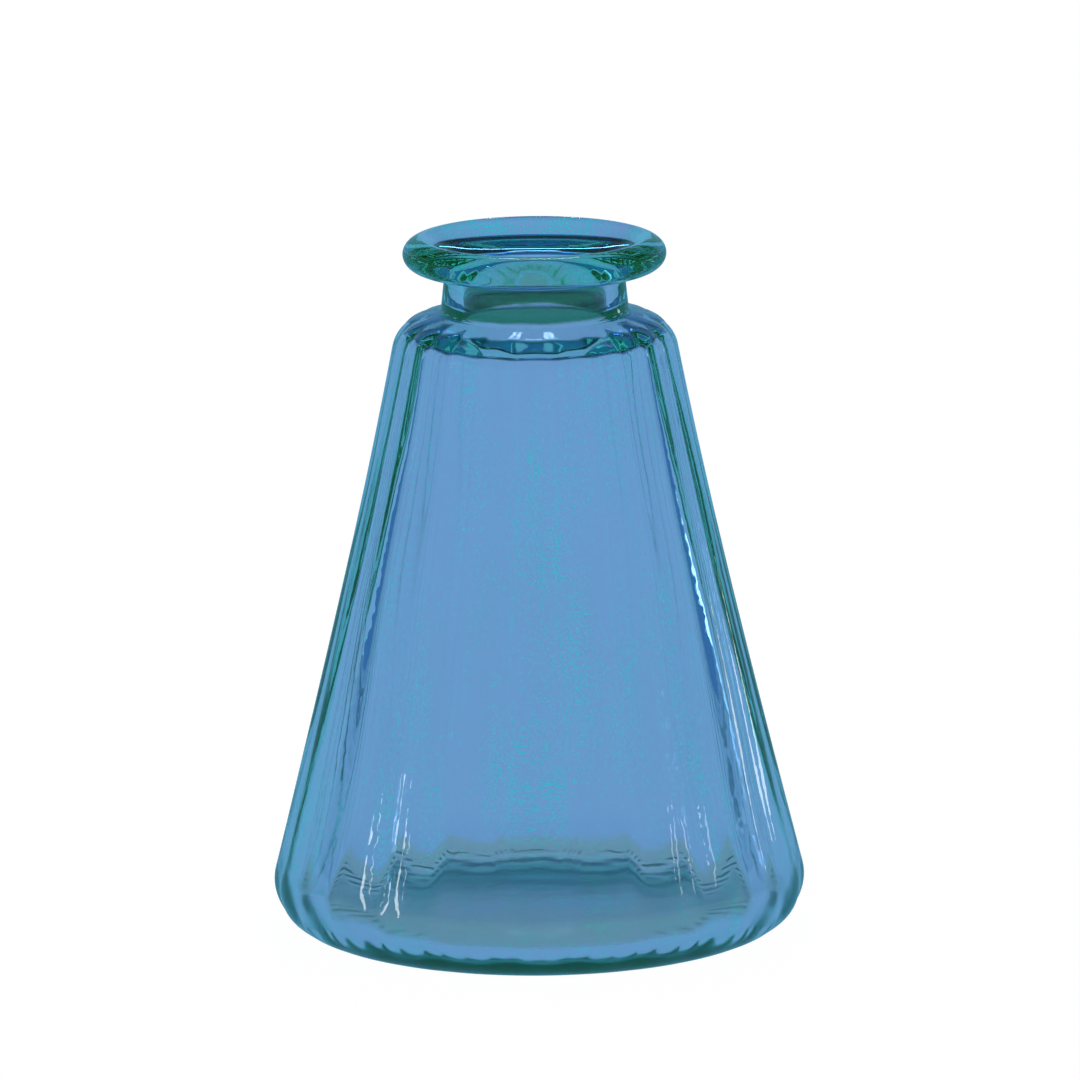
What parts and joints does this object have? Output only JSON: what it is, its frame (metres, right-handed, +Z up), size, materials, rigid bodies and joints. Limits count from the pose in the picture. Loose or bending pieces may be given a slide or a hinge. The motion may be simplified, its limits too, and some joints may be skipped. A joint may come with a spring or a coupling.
{
  "type": "bud vase",
  "caption": "Small conical glass bud vase with vertical ribs, a short neck, a rolled lip and a pushed-up base.",
  "frame": {"origin": "centre of the base, on the vase's axis in the plane that it stands on", "axes": "+Z up along the vase's axis; the middle of one rib faces -Y"},
  "size_m": [0.08, 0.08, 0.1051],
  "materials": {
    "glass": "fire-polished, tinted blue, green where thick"
  },
  "bodies": {
    "root": {"base": "glass", "body_wall": "glass", "shoulder": "glass", "neck": "glass", "rolled_lip": "glass"}
  },
  "joints": []
}
